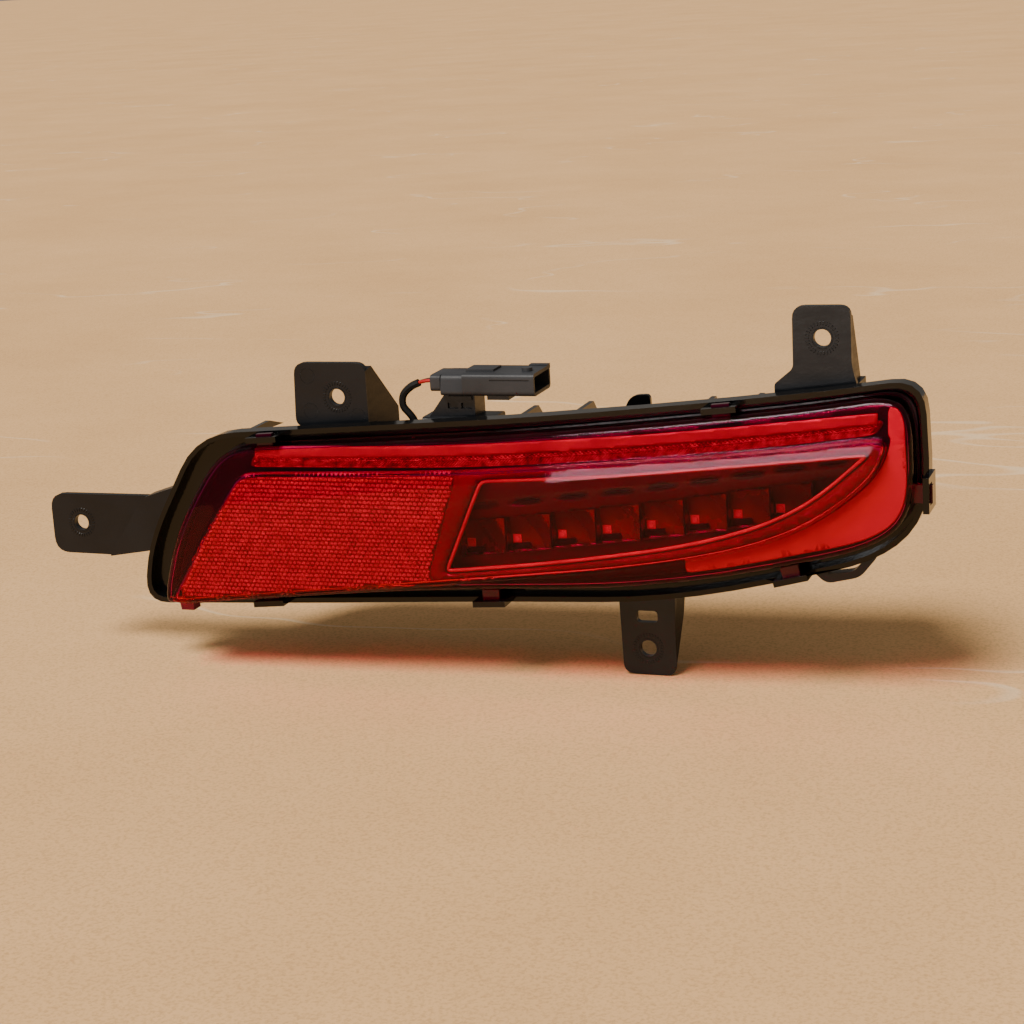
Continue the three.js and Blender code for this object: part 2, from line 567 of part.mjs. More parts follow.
function makeLead() {
  const neck = post(GROMMET.x, GROMMET.y, GROMMET.neckRadius, GROMMET.bottomZ, GROMMET.topZ);
  const head = post(GROMMET.x, GROMMET.y, GROMMET.headRadius, 25.6, GROMMET.topZ);
  addPiece("lead_grommet", neck.add(head), plastic(0x101011, 0.85));
  const top = GROMMET.topZ + GAP;
  const sleeve = tube([[-53, 34, top], [-53.1, 34, top + 1.4], [-54.6, 33.6, 32], [-57.4, 33, 36], [-57, 33, 40.5],
    [-53.2, 33, 44.2], [-49.5, 33, 45.9]], SLEEVE_RADIUS, 20);
  addPiece("lead_sleeve", sleeve, plastic(0x121213, 0.7));
  const wire = (y) => tube([[-49.1, 33 + (y - 33) * 0.55, 46.1], [-45.5, y, 46.9], [-40.2, y, 47]],
    WIRE_RADIUS, 6);
  addPiece("lead_wire_red", wire(31.6), plastic(0xb3121a, 0.5));
  addPiece("lead_wire_black", wire(34.4), plastic(0x141414, 0.5));

  const header = ledPlace(1.45);
  const inner = (offset) => tube([[GROMMET.x + offset, 34, GROMMET.bottomZ - GAP],
    [GROMMET.x + offset, 34.6, 13], [-46, 34 + offset, 2], [-24, 33.5 + offset, -6],
    [header.x + offset - 7, 32.8 + offset, header.z + 4], [header.x + offset, 29.6, header.z - 1]],
    WIRE_RADIUS, 22);
  addPiece("board_wire_red", inner(-1.4), plastic(0xb3121a, 0.5));
  addPiece("board_wire_black", inner(1.4), plastic(0x141414, 0.5));

  const stem = bar(VENT.x, VENT.z, VENT.radius, 70, BODY_BACK_Y + GAP + 0.5);
  const vent = stem.add(bar(VENT.x, VENT.z, 6.5, BODY_BACK_Y + GAP, BODY_BACK_Y + 4.2));
  addPiece("breather_vent", vent, plastic(0x1a1a1c, 0.8));
}

makeHousing();
makeLens();
makeReflex();
makeWindow();
makeBezel();
makeTray();
makeBoard();
makeBrackets();
makeConnector();
makeLead();

lamp.position.set(-SEAT_HOLE.x, -SEAT_Y, -SEAT_HOLE.z);
const part = new THREE.Group();
part.add(lamp);

export default part;
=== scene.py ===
"""Looks of a rear bumper stop and fog lamp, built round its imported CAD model. Metres, row frame.

The lens faces -Y and +Z is up. Outlines are read from the CAD faces, so every visible surface
follows the model; the lens face and all that lies under it share one gentle crown.
"""
import json
import math

import bmesh
import bpy
import numpy as np
from mathutils import Matrix, Vector
from mathutils.bvhtree import BVHTree
from mathutils.geometry import delaunay_2d_cdt


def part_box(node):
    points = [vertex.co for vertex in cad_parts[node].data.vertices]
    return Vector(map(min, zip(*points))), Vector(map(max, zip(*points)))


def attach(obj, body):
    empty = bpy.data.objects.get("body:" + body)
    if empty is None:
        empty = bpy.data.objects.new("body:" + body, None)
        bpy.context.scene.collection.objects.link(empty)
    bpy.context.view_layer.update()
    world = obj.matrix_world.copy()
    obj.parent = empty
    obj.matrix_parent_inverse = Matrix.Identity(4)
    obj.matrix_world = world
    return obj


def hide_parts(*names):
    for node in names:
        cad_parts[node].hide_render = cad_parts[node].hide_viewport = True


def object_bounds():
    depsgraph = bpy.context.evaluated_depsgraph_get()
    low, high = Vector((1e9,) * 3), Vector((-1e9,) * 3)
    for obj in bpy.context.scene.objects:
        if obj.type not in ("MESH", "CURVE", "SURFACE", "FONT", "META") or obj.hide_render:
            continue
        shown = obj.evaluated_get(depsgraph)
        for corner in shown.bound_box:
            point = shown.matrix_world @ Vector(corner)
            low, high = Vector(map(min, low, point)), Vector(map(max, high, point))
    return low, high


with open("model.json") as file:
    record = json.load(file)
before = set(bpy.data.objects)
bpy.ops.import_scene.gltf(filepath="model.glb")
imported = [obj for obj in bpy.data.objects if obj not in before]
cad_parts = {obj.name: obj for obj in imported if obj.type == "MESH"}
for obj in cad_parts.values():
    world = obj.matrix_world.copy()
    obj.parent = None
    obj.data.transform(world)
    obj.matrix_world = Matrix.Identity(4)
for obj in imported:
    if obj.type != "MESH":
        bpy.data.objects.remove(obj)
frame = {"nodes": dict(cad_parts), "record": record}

CAD_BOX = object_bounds()
MM = 0.001
BODY = "root"

LENS_LOW, LENS_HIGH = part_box("outer_lens")
FRONT = LENS_LOW.y                      # the raised lens face
SKIRT = FRONT + 3 * MM                  # the lens face round it
FOOT = LENS_HIGH.y                      # where the lens meets its seal
MIDDLE = Vector(((LENS_LOW.x + LENS_HIGH.x) / 2, FRONT, (LENS_LOW.z + LENS_HIGH.z) / 2))
SEAT = 0.0                              # the bracket plates' front faces


# ------------------------------------------------------------------ outlines

def signed_area(points):
    after = np.roll(points, -1, 0)
    return 0.5 * np.sum(points[:, 0] * after[:, 1] - after[:, 0] * points[:, 1])


def face_loops(node, depth, facing):
    """Outlines (x, z) of a CAD node's flat faces at a depth, largest first, counterclockwise."""
    mesh = frame["nodes"][node].data
    edges = set()
    for polygon in mesh.polygons:
        if abs(polygon.center.y - depth) < 5e-5 and polygon.normal.y * facing > 0.99:
            corners = [mesh.vertices[i].co for i in polygon.vertices]
            corners = [(round(c.x, 6), round(c.z, 6)) for c in corners]
            edges.update(zip(corners, corners[1:] + corners[:1]))
    border = {a: b for a, b in edges if (b, a) not in edges}
    found = []
    while border:
        start = min(border)
        loop, here = [start], border.pop(start)
        while here != start:
            loop.append(here)
            here = border.pop(here)
        points = np.array(loop)
        found.append(points if signed_area(points) > 0 else points[::-1])
    return sorted(found, key=lambda points: -abs(signed_area(points)))


def resampled(points, count, softening=2):
    """An outline as evenly spaced points from its lower left corner, with its facets smoothed."""
    closed = np.vstack([points, points[:1]])
    run = np.r_[0, np.cumsum(np.linalg.norm(np.diff(closed, axis=0), axis=1))]
    corner = run[np.argmin(points @ np.array([1.0, 1.0]))]
    at = (np.linspace(0, run[-1], count, endpoint=False) + corner) % run[-1]
    even = np.column_stack([np.interp(at, run, closed[:, i]) for i in (0, 1)])
    for _ in range(softening):
        beside = (np.roll(even, 1, 0) + np.roll(even, -1, 0)) / 2
        bend = np.linalg.norm(beside - even, axis=1)
        share = np.where(bend < 0.12 * run[-1] / count, 0.5, 0.15)[:, None]
        even = even * (1 - share) + beside * share
    return even


def inset(points, distance):
    along = np.roll(points, -1, 0) - np.roll(points, 1, 0)
    along /= np.linalg.norm(along, axis=1)[:, None]
    return points + np.column_stack([-along[:, 1], along[:, 0]]) * distance


def inside(points, loop):
    """Which points lie inside an outline."""
    x, z = points[:, 0][:, None], points[:, 1][:, None]
    x0, z0 = loop[:, 0], loop[:, 1]
    x1, z1 = np.roll(x0, -1), np.roll(z0, -1)
    crosses = (z0 > z) != (z1 > z)
    with np.errstate(divide="ignore", invalid="ignore"):
        at = x0 + (z - z0) * (x1 - x0) / (z1 - z0)
    return (np.sum(crosses & (x < at), axis=1) % 2).astype(bool)


def fill(outer, holes=(), spacing=3 * MM):
    """Triangles between an outline and its holes, with inner points on a grid."""
    rings = [outer, *holes]
    border = [Vector(p) for ring in rings for p in ring]
    edges, start = [], 0
    for ring in rings:
        edges += [(start + i, start + (i + 1) % len(ring)) for i in range(len(ring))]
        start += len(ring)
    low, high = outer.min(0), outer.max(0)
    xs = np.arange(low[0] + spacing / 2, high[0], spacing)
    zs = np.arange(low[1] + spacing / 2, high[1], spacing)
    grid = np.array(np.meshgrid(xs, zs)).reshape(2, -1).T
    keep = inside(grid, inset(outer, spacing / 4))
    for hole in holes:
        keep &= ~inside(grid, inset(hole, -spacing / 4))
    points = border + [Vector(p) for p in grid[keep]]
    vertices, _, faces, *_ = delaunay_2d_cdt(points, edges, [], 0, 1e-7)
    flat = np.array([tuple(v) for v in vertices])
    middles = flat[np.array(faces)].mean(1)
    good = inside(middles, outer)
    for hole in holes:
        good &= ~inside(middles, hole)
    return flat, [face for face, kept in zip(faces, good) if kept]


# ------------------------------------------------------------------ the crown of the lens

CROWN_ENDS = 1.0 * MM
CROWN_TOP = 4.3 * MM                    # the face rolls back most along its upper edge
CROWN_BOTTOM = 0.5 * MM
HALF_LENGTH = (LENS_HIGH.x - LENS_LOW.x) / 2
HALF_HEIGHT = 32 * MM
ROW_SLOPE = 0.114                       # the lamp's middle line climbs to the right


def crown(x, z):
    """How far the lens face falls back at (x, z)."""
    across = (x - MIDDLE.x) / HALF_LENGTH
    up = (z - MIDDLE.z - ROW_SLOPE * (x - MIDDLE.x)) / HALF_HEIGHT
    roll = CROWN_TOP if up > 0 else CROWN_BOTTOM
    return CROWN_ENDS * across ** 2 + roll * up ** 2


# ------------------------------------------------------------------ pieces

def mesh_piece(name, vertices, faces, material, smooth=True, replaces=()):
    mesh = bpy.data.meshes.new(name)
    mesh.from_pydata([tuple(v) for v in vertices], [], [tuple(int(i) for i in f) for f in faces])
    mesh.validate()
    mesh.polygons.foreach_set("use_smooth", [smooth] * len(mesh.polygons))
    piece = bpy.data.objects.new(name, mesh)
    bpy.context.scene.collection.objects.link(piece)
    return dressed(piece, material, replaces)


def dressed(piece, material, replaces=()):
    piece.data.materials.clear()
    piece.data.materials.append(material)
    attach(piece, BODY)
    if replaces:
        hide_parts(*replaces)
    return piece


def closed_mesh(piece):
    """Points a closed mesh's faces outwards and merges doubled points."""
    bm = bmesh.new()
    bm.from_mesh(piece.data)
    bmesh.ops.remove_doubles(bm, verts=bm.verts, dist=1e-6)
    bmesh.ops.recalc_face_normals(bm, faces=bm.faces)
    bm.to_mesh(piece.data)
    bm.free()
    return piece


def wall_faces(near, far, count):
    """Quads between two rings of points that start at two indices."""
    return [(near + i, near + (i + 1) % count, far + (i + 1) % count, far + i) for i in range(count)]


def thicken(piece, thickness):
    """Gives a sheet that faces -Y a body behind it."""
    solidify = piece.modifiers.new("body", "SOLIDIFY")
    solidify.thickness = thickness
    solidify.offset = -1
    piece.modifiers.new("normals", "WEIGHTED_NORMAL")
    return piece


def plate(name, outer, holes, depth, thickness, material, replaces=(), spacing=3 * MM,
          round_edge=0.0, crowned=True):
    """A crowned plate with its front at a depth. Its rim can be rounded."""
    vertices, faces = [], []
    ring = outer
    if round_edge:
        steps = 3
        for k in range(steps):
            turn = math.pi / 2 * k / steps
            moved = inset(outer, round_edge * (1 - math.cos(turn)))
            vertices += [(x, round_edge * (1 - math.sin(turn)), z) for x, z in moved]
        count = len(outer)
        ring = inset(outer, round_edge)
        for k in range(steps - 1):
            faces += wall_faces(k * count, (k + 1) * count, count)
        base = len(vertices)
        last = (steps - 1) * count
        flat, triangles = fill(ring, holes, spacing)
        vertices += [(x, 0.0, z) for x, z in flat]
        faces += wall_faces(last, base, count)
        faces += [tuple(base + i for i in triangle) for triangle in triangles]
    else:
        flat, faces = fill(outer, holes, spacing)
        vertices = [(x, 0.0, z) for x, z in flat]
    fall = crown if crowned else (lambda x, z: 0.0)
    placed = [(x, depth + y + fall(x, z), z) for x, y, z in vertices]
    piece = mesh_piece(name, placed, faces, material, replaces=replaces)
    return thicken(piece, thickness)


def refined(node, width, material, segments=3):
    """A CAD node's own shape with rounded edges."""
    mesh = frame["nodes"][node].data.copy()
    bm = bmesh.new()
    bm.from_mesh(mesh)
    original = BVHTree.FromBMesh(bm)
    bmesh.ops.remove_doubles(bm, verts=bm.verts, dist=1e-6)
    bmesh.ops.dissolve_limit(bm, angle_limit=math.radians(1.0), verts=bm.verts, edges=bm.edges)
    sharp = [e for e in bm.edges if e.is_manifold and e.calc_face_angle() > math.radians(32)]
    bmesh.ops.bevel(bm, geom=sharp, offset=width, offset_type="OFFSET", segments=segments,
                    profile=0.5, affect="EDGES", clamp_overlap=True)
    for face in bm.faces:
        face.smooth = True
    for vertex in bm.verts:
        place, _, _, distance = original.find_nearest(vertex.co)
        if distance > width:
            vertex.co = place
    bm.to_mesh(mesh)
    bm.free()
    piece = bpy.data.objects.new(f"{node}_skin", mesh)
    bpy.context.scene.collection.objects.link(piece)
    dressed(piece, material, (node,))
    piece.modifiers.new("normals", "WEIGHTED_NORMAL").keep_sharp = True
    return piece


# ------------------------------------------------------------------ materials

def material(name, **inputs):
    made = bpy.data.materials.new(name)
    made.use_nodes = True
    shader = made.node_tree.nodes["Principled BSDF"]
    for key, value in inputs.items():
        socket = shader.inputs[key.replace("_", " ")]
        socket.default_value = (*value, 1.0) if isinstance(value, tuple) and len(value) == 3 else value
    return made, made.node_tree.nodes, made.node_tree.links, shader


def coordinates(nodes, links, scale=(1.0, 1.0, 1.0)):
    place = nodes.new("ShaderNodeTexCoord")
    mapping = nodes.new("ShaderNodeMapping")
    mapping.inputs["Scale"].default_value = scale
    links.new(place.outputs["Object"], mapping.inputs["Vector"])
    return mapping.outputs["Vector"]


def noise(nodes, links, vector, scale, detail=3.0, roughness=0.55):
    made = nodes.new("ShaderNodeTexNoise")
    made.inputs["Scale"].default_value = scale
    made.inputs["Detail"].default_value = detail
    made.inputs["Roughness"].default_value = roughness
    links.new(vector, made.inputs["Vector"])
    return made.outputs["Fac"]


def ramp(nodes, links, fac, stops):
    made = nodes.new("ShaderNodeValToRGB")
    elements = made.color_ramp.elements
    while len(elements) < len(stops):
        elements.new(0.5)
    for element, (position, color) in zip(elements, stops):
        element.position = position
        element.color = (*color, 1.0)
    links.new(fac, made.inputs["Fac"])
    return made.outputs["Color"]


def spread(nodes, links, fac, low, high):
    made = nodes.new("ShaderNodeMapRange")
    made.inputs["From Min"].default_value = 0.3
    made.inputs["From Max"].default_value = 0.7
    made.inputs["To Min"].default_value = low
    made.inputs["To Max"].default_value = high
    links.new(fac, made.inputs["Value"])
    return made.outputs["Result"]


def bump(nodes, links, shader, height, distance, strength=1.0):
    made = nodes.new("ShaderNodeBump")
    made.inputs["Strength"].default_value = strength
    made.inputs["Distance"].default_value = distance
    links.new(height, made.inputs["Height"])
    links.new(made.outputs["Normal"], shader.inputs["Normal"])


def moulded(name, dark, light, roughness, grain=0.00004, scale=900.0):
    """Moulded plastic: fine grain, faint flow marks and rubbed patches."""
    made, nodes, links, shader = material(name, Specular_IOR_Level=0.32)
    vector = coordinates(nodes, links)
    patches = noise(nodes, links, vector, 38.0, 4.0)
    links.new(ramp(nodes, links, patches, [(0.35, dark), (0.72, light)]), shader.inputs["Base Color"])
    smears = noise(nodes, links, coordinates(nodes, links, (1.0, 1.0, 3.5)), 70.0, 5.0, 0.65)
    links.new(spread(nodes, links, smears, *roughness), shader.inputs["Roughness"])
    bump(nodes, links, shader, noise(nodes, links, vector, scale, 2.0), grain)
    return made


def glossy_red(name, dark, light, roughness=0.12, metallic=0.0, scale=60.0, coat=0.0):
    """Clear red plastic over a reflecting back, with faint clouding."""
    made, nodes, links, shader = material(name, Metallic=metallic, Coat_Weight=coat,
                                          Coat_Roughness=0.04, Specular_IOR_Level=0.22)
    vector = coordinates(nodes, links)
    clouds = noise(nodes, links, vector, scale, 3.0)
    links.new(ramp(nodes, links, clouds, [(0.3, dark), (0.7, light)]), shader.inputs["Base Color"])
    links.new(spread(nodes, links, clouds, roughness, roughness * 1.5), shader.inputs["Roughness"])
    return made


LENS_IOR = 1.24                         # under acrylic's 1.49, for fewer grey reflections


def lens_glass(name, tint, shadow_tint, roughness=0.012):
    """Clear red acrylic. Light reaches what is under it as through tinted film."""
    made, nodes, links, shader = material(name, Base_Color=tint, Roughness=roughness, IOR=LENS_IOR,
                                          Transmission_Weight=1.0)
    film = nodes.new("ShaderNodeBsdfTransparent")
    film.inputs["Color"].default_value = (*shadow_tint, 1.0)
    path = nodes.new("ShaderNodeLightPath")
    mix = nodes.new("ShaderNodeMixShader")
    links.new(path.outputs["Is Shadow Ray"], mix.inputs["Fac"])
    links.new(shader.outputs["BSDF"], mix.inputs[1])
    links.new(film.outputs["BSDF"], mix.inputs[2])
    links.new(mix.outputs["Shader"], nodes["Material Output"].inputs["Surface"])
    vector = coordinates(nodes, links)
    smears = noise(nodes, links, vector, 45.0, 5.0, 0.6)
    links.new(spread(nodes, links, smears, roughness, roughness * 3), shader.inputs["Roughness"])
    return made


HOUSING = moulded("housing_plastic", (0.0015, 0.0015, 0.0016), (0.0035, 0.0036, 0.0040), (0.07, 0.16))
BRACKET = moulded("bracket_plastic", (0.0045, 0.0055, 0.0075), (0.009, 0.0105, 0.0135),
                  (0.28, 0.42), 0.00004, 700.0)
CONNECTOR = moulded("connector_plastic", (0.022, 0.0235, 0.027), (0.042, 0.044, 0.05),
                    (0.40, 0.54), 0.00005, 1100.0)
RUBBER = moulded("rubber_black", (0.003, 0.003, 0.003), (0.008, 0.008, 0.008),
                 (0.5, 0.7), 0.00008, 500.0)
LENS = lens_glass("lens_acrylic", (0.92, 0.004, 0.27), (0.90, 0.01, 0.50))
REFLEX = glossy_red("reflex_acrylic", (0.29, 0.0, 0.09), (0.38, 0.0, 0.115), 0.22, 0.0, 240.0, 0.10)
REFLEX_SEAM = glossy_red("reflex_seams", (0.11, 0.0, 0.032), (0.15, 0.0, 0.044), 0.3, 0.0, 40.0)
DARK_RED = glossy_red("shaded_acrylic", (0.035, 0.0, 0.008), (0.05, 0.0, 0.012), 0.10, 0.0, 35.0, 0.2)
FRAME_RED = glossy_red("frame_acrylic", (0.09, 0.0, 0.024), (0.13, 0.0, 0.035), 0.14, 0.0, 30.0, 0.15)
STRIP_BASE = glossy_red("strip_shade", (0.07, 0.0, 0.018), (0.10, 0.0, 0.026), 0.2, 0.0, 60.0)
GUIDE = glossy_red("guide_acrylic", (0.30, 0.0, 0.085), (0.42, 0.0, 0.12), 0.10, 0.0, 80.0, 0.4)
PRISM = glossy_red("prism_acrylic", (0.10, 0.0, 0.028), (0.50, 0.0, 0.14), 0.14, 0.0, 400.0, 0.2)
BEZEL = glossy_red("bezel_plastic", (0.004, 0.0, 0.001), (0.009, 0.0005, 0.002), 0.25, 0.0, 30.0)
PANEL = glossy_red("panel_reflector", (0.34, 0.0, 0.11), (0.40, 0.0, 0.13), 0.40, 0.0, 25.0)
BAND = glossy_red("strip_band_acrylic", (0.20, 0.0, 0.05), (0.27, 0.0, 0.07), 0.15, 0.0, 60.0, 0.2)
TRAY = glossy_red("tray_metallised", (0.11, 0.0, 0.032), (0.21, 0.0, 0.06), 0.20, 0.7, 50.0)
TRAY_FACE = glossy_red("tray_face_red", (0.05, 0.0, 0.013), (0.08, 0.0, 0.021), 0.20, 0.0, 40.0, 0.1)
# near-black: painted shade for the slots under the LEDs and the slits above the cups
SLOT_PAINTED_SHADE = glossy_red("slot_shadow", (0.002, 0.0, 0.0004), (0.004, 0.0, 0.0008), 0.4)
EMITTER = glossy_red("led_lens", (0.62, 0.03, 0.20), (0.75, 0.05, 0.26), 0.15, 0.0, 300.0, 0.4)


# ------------------------------------------------------------------ outer lens

LOOP_COUNT = 520
LENS_RING = resampled(face_loops("outer_lens", SKIRT, -1)[0], LOOP_COUNT, 30)
ISLAND_RING = resampled(face_loops("outer_lens", FRONT, -1)[0], LOOP_COUNT, 30)


def make_lens():
    """One sheet: foot, side wall, rounded rim, skirt, step and raised face, then thickened."""
    rim = 2.6 * MM
    wall = [(0.0, FOOT), (0.0, FOOT - 6 * MM), (0.0, SKIRT + rim * 1.6)]
    wall += [(rim * (1 - math.cos(t)), SKIRT + rim * (1 - math.sin(t)))
             for t in np.linspace(0, math.pi / 2, 8)]
    step = [(-1.5, 3.0), (-1.05, 2.94), (-0.75, 2.7), (-0.55, 2.3), (-0.3, 0.7), (-0.15, 0.28),
            (0.1, 0.06), (0.5, 0.0)]
    vertices, faces = [], []

    def add_rings(loop, profile):
        first = len(vertices)
        for distance, depth in profile:
            part = (FOOT - depth) / (FOOT - FRONT)
            for x, z in inset(loop, distance):
                vertices.append((x, depth + crown(x, z) * min(1.0, part * 1.4), z))
        for k in range(len(profile) - 1):
            a, b = first + k * LOOP_COUNT, first + (k + 1) * LOOP_COUNT
            faces.extend(wall_faces(a, b, LOOP_COUNT))

    def add_field(outer, holes, depth):
        first = len(vertices)
        flat, triangles = fill(outer, holes, 2.5 * MM)
        vertices.extend((x, depth + crown(x, z), z) for x, z in flat)
        faces.extend(tuple(first + i for i in t) for t in triangles)

    add_rings(LENS_RING, wall)
    add_field(inset(LENS_RING, rim), [inset(ISLAND_RING, step[0][0] * MM)], SKIRT)
    add_rings(ISLAND_RING, [(d * MM, FRONT + y * MM) for d, y in step])
    add_field(inset(ISLAND_RING, step[-1][0] * MM), [], FRONT)
    piece = mesh_piece("lens_shell", vertices, faces, LENS, replaces=["outer_lens"])
    bm = bmesh.new()
    bm.from_mesh(piece.data)
    bmesh.ops.remove_doubles(bm, verts=bm.verts, dist=4e-6)
    bm.to_mesh(piece.data)
    bm.free()
    thicken(piece, 1.9 * MM)
    return piece


# where the lens snaps in: x and z in mm, and the edge's direction in degrees
LENS_TABS = [(-27, -15.6, 3.7), (170, -1, 5.3), (248.4, -32, -90), (-30, -84.6, 184.5),
             (70, -80.8, 182.7), (196, -66.3, 193.7)]
LENS_FOOT = [(-72, -65), (-22, -16), (-89.6, -84)]


def make_lens_tabs():
    """The red tongues that snap into the housing's loops, and the foot at the lower left."""
    depths = (FRONT + 12.7 * MM, FRONT + 15.1 * MM)
    for k, (x, z, angle) in enumerate(LENS_TABS):
        turn = math.radians(angle)
        along = Vector((math.cos(turn), 0, math.sin(turn))) * MM
        out = Vector((-math.sin(turn), 0, math.cos(turn))) * MM
        corners = [Vector((x * MM, y, z * MM)) + along * a + out * b for y in depths
                   for a, b in ((-3.6, -4), (3.6, -4), (3.6, 3.2), (-3.6, 3.2))]
        block(f"lens_tab_{k + 1}", corners, DARK_RED)
    (x0, x1), (y0, y1), (z0, z1) = LENS_FOOT
    outline = ((x0 + 1, z0), (x1, z0), (x1, z1), (x0, z1))
    corners = [Vector((x, y, z)) * MM for y in (y0, y1) for x, z in outline]
    block("lens_foot", corners, FRAME_RED)


def block(name, corners, look):
    faces = [(0, 1, 2, 3), (7, 6, 5, 4), (0, 4, 5, 1), (1, 5, 6, 2), (2, 6, 7, 3), (3, 7, 4, 0)]
    return closed_mesh(mesh_piece(name, corners, faces, look, smooth=False))


# ------------------------------------------------------------------ under the lens

def grown_to_island(outline, margin=0.9 * MM, reach=4.2 * MM):
    """An outline whose sides near the raised face's edge are moved out to it."""
    edge = inset(ISLAND_RING, margin)
    away = np.linalg.norm(outline[:, None, :] - edge[None, :, :], axis=2)
    nearest = away.argmin(1)
    close = away[np.arange(len(outline)), nearest] < reach
    moved = outline.copy()
    moved[close] = edge[nearest[close]]
    keep = np.r_[True, np.linalg.norm(np.diff(moved, axis=0), axis=1) > 2e-5]
    return moved[keep]


def height_span(loop, x):
    """The lowest and highest z of an outline at x."""
    after = np.roll(loop, -1, 0)
    crosses = (loop[:, 0] > x) != (after[:, 0] > x)
    a, b = loop[crosses], after[crosses]
    if len(a) == 0:
        return None
    z = a[:, 1] + (x - a[:, 0]) * (b[:, 1] - a[:, 1]) / (b[:, 0] - a[:, 0])
    return z.min(), z.max()


def prism_cells(name, region, pitch, depth, rise, look, rng):
    """A honeycomb of small three-sided prisms inside an outline, with dark seams between them."""
    low, high = region.min(0), region.max(0)
    row_height = pitch * math.sqrt(3) / 2
    rows = int((high[1] - low[1]) / row_height) + 1
    columns = int((high[0] - low[0]) / pitch) + 1
    centres = np.array([(low[0] + (c + 0.5 * (r % 2)) * pitch, low[1] + r * row_height)
                        for r in range(rows) for c in range(columns)])
    centres = centres[inside(centres, region)]
    vertices, faces = [], []
    for x, z in centres:
        first = len(vertices)
        radius = pitch * rng.uniform(0.46, 0.53)
        lift = rise * rng.uniform(0.75, 1.1)
        back = depth + crown(x, z)
        vertices.append((x + rng.uniform(-0.1, 0.1) * pitch, back - lift,
                         z + rng.uniform(-0.1, 0.1) * pitch))
        for k in range(6):
            turn = math.pi / 6 + k * math.pi / 3
            vertices.append((x + radius * math.cos(turn), back - lift * (0.5 if k % 2 else 0.0),
                             z + radius * math.sin(turn)))
        for k in range(3):
            after = 3 + 2 * k if k < 2 else 1
            faces.append((first, first + 1 + 2 * k, first + 2 + 2 * k, first + after))
    held_inside(vertices, centres, 7, region)
    return mesh_piece(name, vertices, faces, look, smooth=False)


def held_inside(vertices, centres, count, region):
    """Draw the corners that stick out of the region back towards their cell's centre."""
    for _ in range(8):
        flat = np.array([(v[0], v[2]) for v in vertices])
        for n in np.flatnonzero(~inside(flat, region)):
            x, y, z = vertices[n]
            cx, cz = centres[n // count]
            vertices[n] = (x + (cx - x) * 0.2, y, z + (cz - z) * 0.2)


def make_reflex():
    rng = np.random.default_rng(7)
    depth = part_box("reflex_reflector")[0].y
    region = grown_to_island(resampled(face_loops("reflex_reflector", depth, -1)[0], 300, 1))
    plate("reflex_plate", region, [], depth + 0.9 * MM, 2.6 * MM, REFLEX_SEAM,
          ["reflex_reflector"])
    prism_cells("reflex_prisms", region, 2.05 * MM, depth + 0.8 * MM, 1.0 * MM, REFLEX,
                rng)
    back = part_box("reflex_back_cover")[0].y
    cover = resampled(face_loops("reflex_back_cover", back, -1)[0], 260, 1)
    plate("reflex_cover_plate", cover, [], back + 0.6 * MM, 1.6 * MM, DARK_RED,
          ["reflex_back_cover"])


def make_bezel():
    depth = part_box("inner_bezel")[0].y
    outer, window = face_loops("inner_bezel", depth, -1)[:2]
    plate("bezel_plate", resampled(outer, 420), [resampled(window, 300)], depth + 0.2 * MM,
          1.4 * MM, BEZEL, ["inner_bezel"])
    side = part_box("side_reflector")[0].y
    panel = inset(resampled(face_loops("side_reflector", side, -1)[0], 300), -1.4 * MM)
    plate("side_panel", panel, [], side, 2.4 * MM, PANEL, ["side_reflector"],
          round_edge=0.7 * MM)


def make_window():
    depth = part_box("window_surround")[0].y
    outer, *opening = face_loops("window_surround", depth, -1)
    opening = [resampled(loop, 400) for loop in opening[:1]]
    plate("window_frame", grown_to_island(resampled(outer, 700, 1)), opening, depth + 0.5 * MM,
          2.4 * MM, FRAME_RED, ["window_surround"])
    guide_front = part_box("light_guide")[0].y
    outer = face_loops("light_guide", guide_front, -1)[0]
    centre = inset(resampled(outer, 360), 1.0 * MM)
    tube_loop("guide_bead", centre, guide_front + 1.4 * MM, 0.8 * MM, GUIDE,
              ["light_guide"])


def tube_loop(name, loop, depth, radius, material_, replaces=(), sides=10):
    """A round bead along a closed outline."""
    count = len(loop)
    along = np.roll(loop, -1, 0) - np.roll(loop, 1, 0)
    along /= np.linalg.norm(along, axis=1)[:, None]
    outward = np.column_stack([along[:, 1], -along[:, 0]])
    vertices, faces = [], []
    for (x, z), (nx, nz) in zip(loop, outward):
        for s in range(sides):
            turn = 2 * math.pi * s / sides
            out = radius * math.cos(turn)
            y = depth + crown(x, z) + radius * math.sin(turn)
            vertices.append((x + nx * out, y, z + nz * out))
    for i in range(count):
        j = (i + 1) % count
        for s in range(sides):
            t = (s + 1) % sides
            faces.append((i * sides + s, j * sides + s, j * sides + t, i * sides + t))
    return closed_mesh(mesh_piece(name, vertices, faces, material_, replaces=replaces))


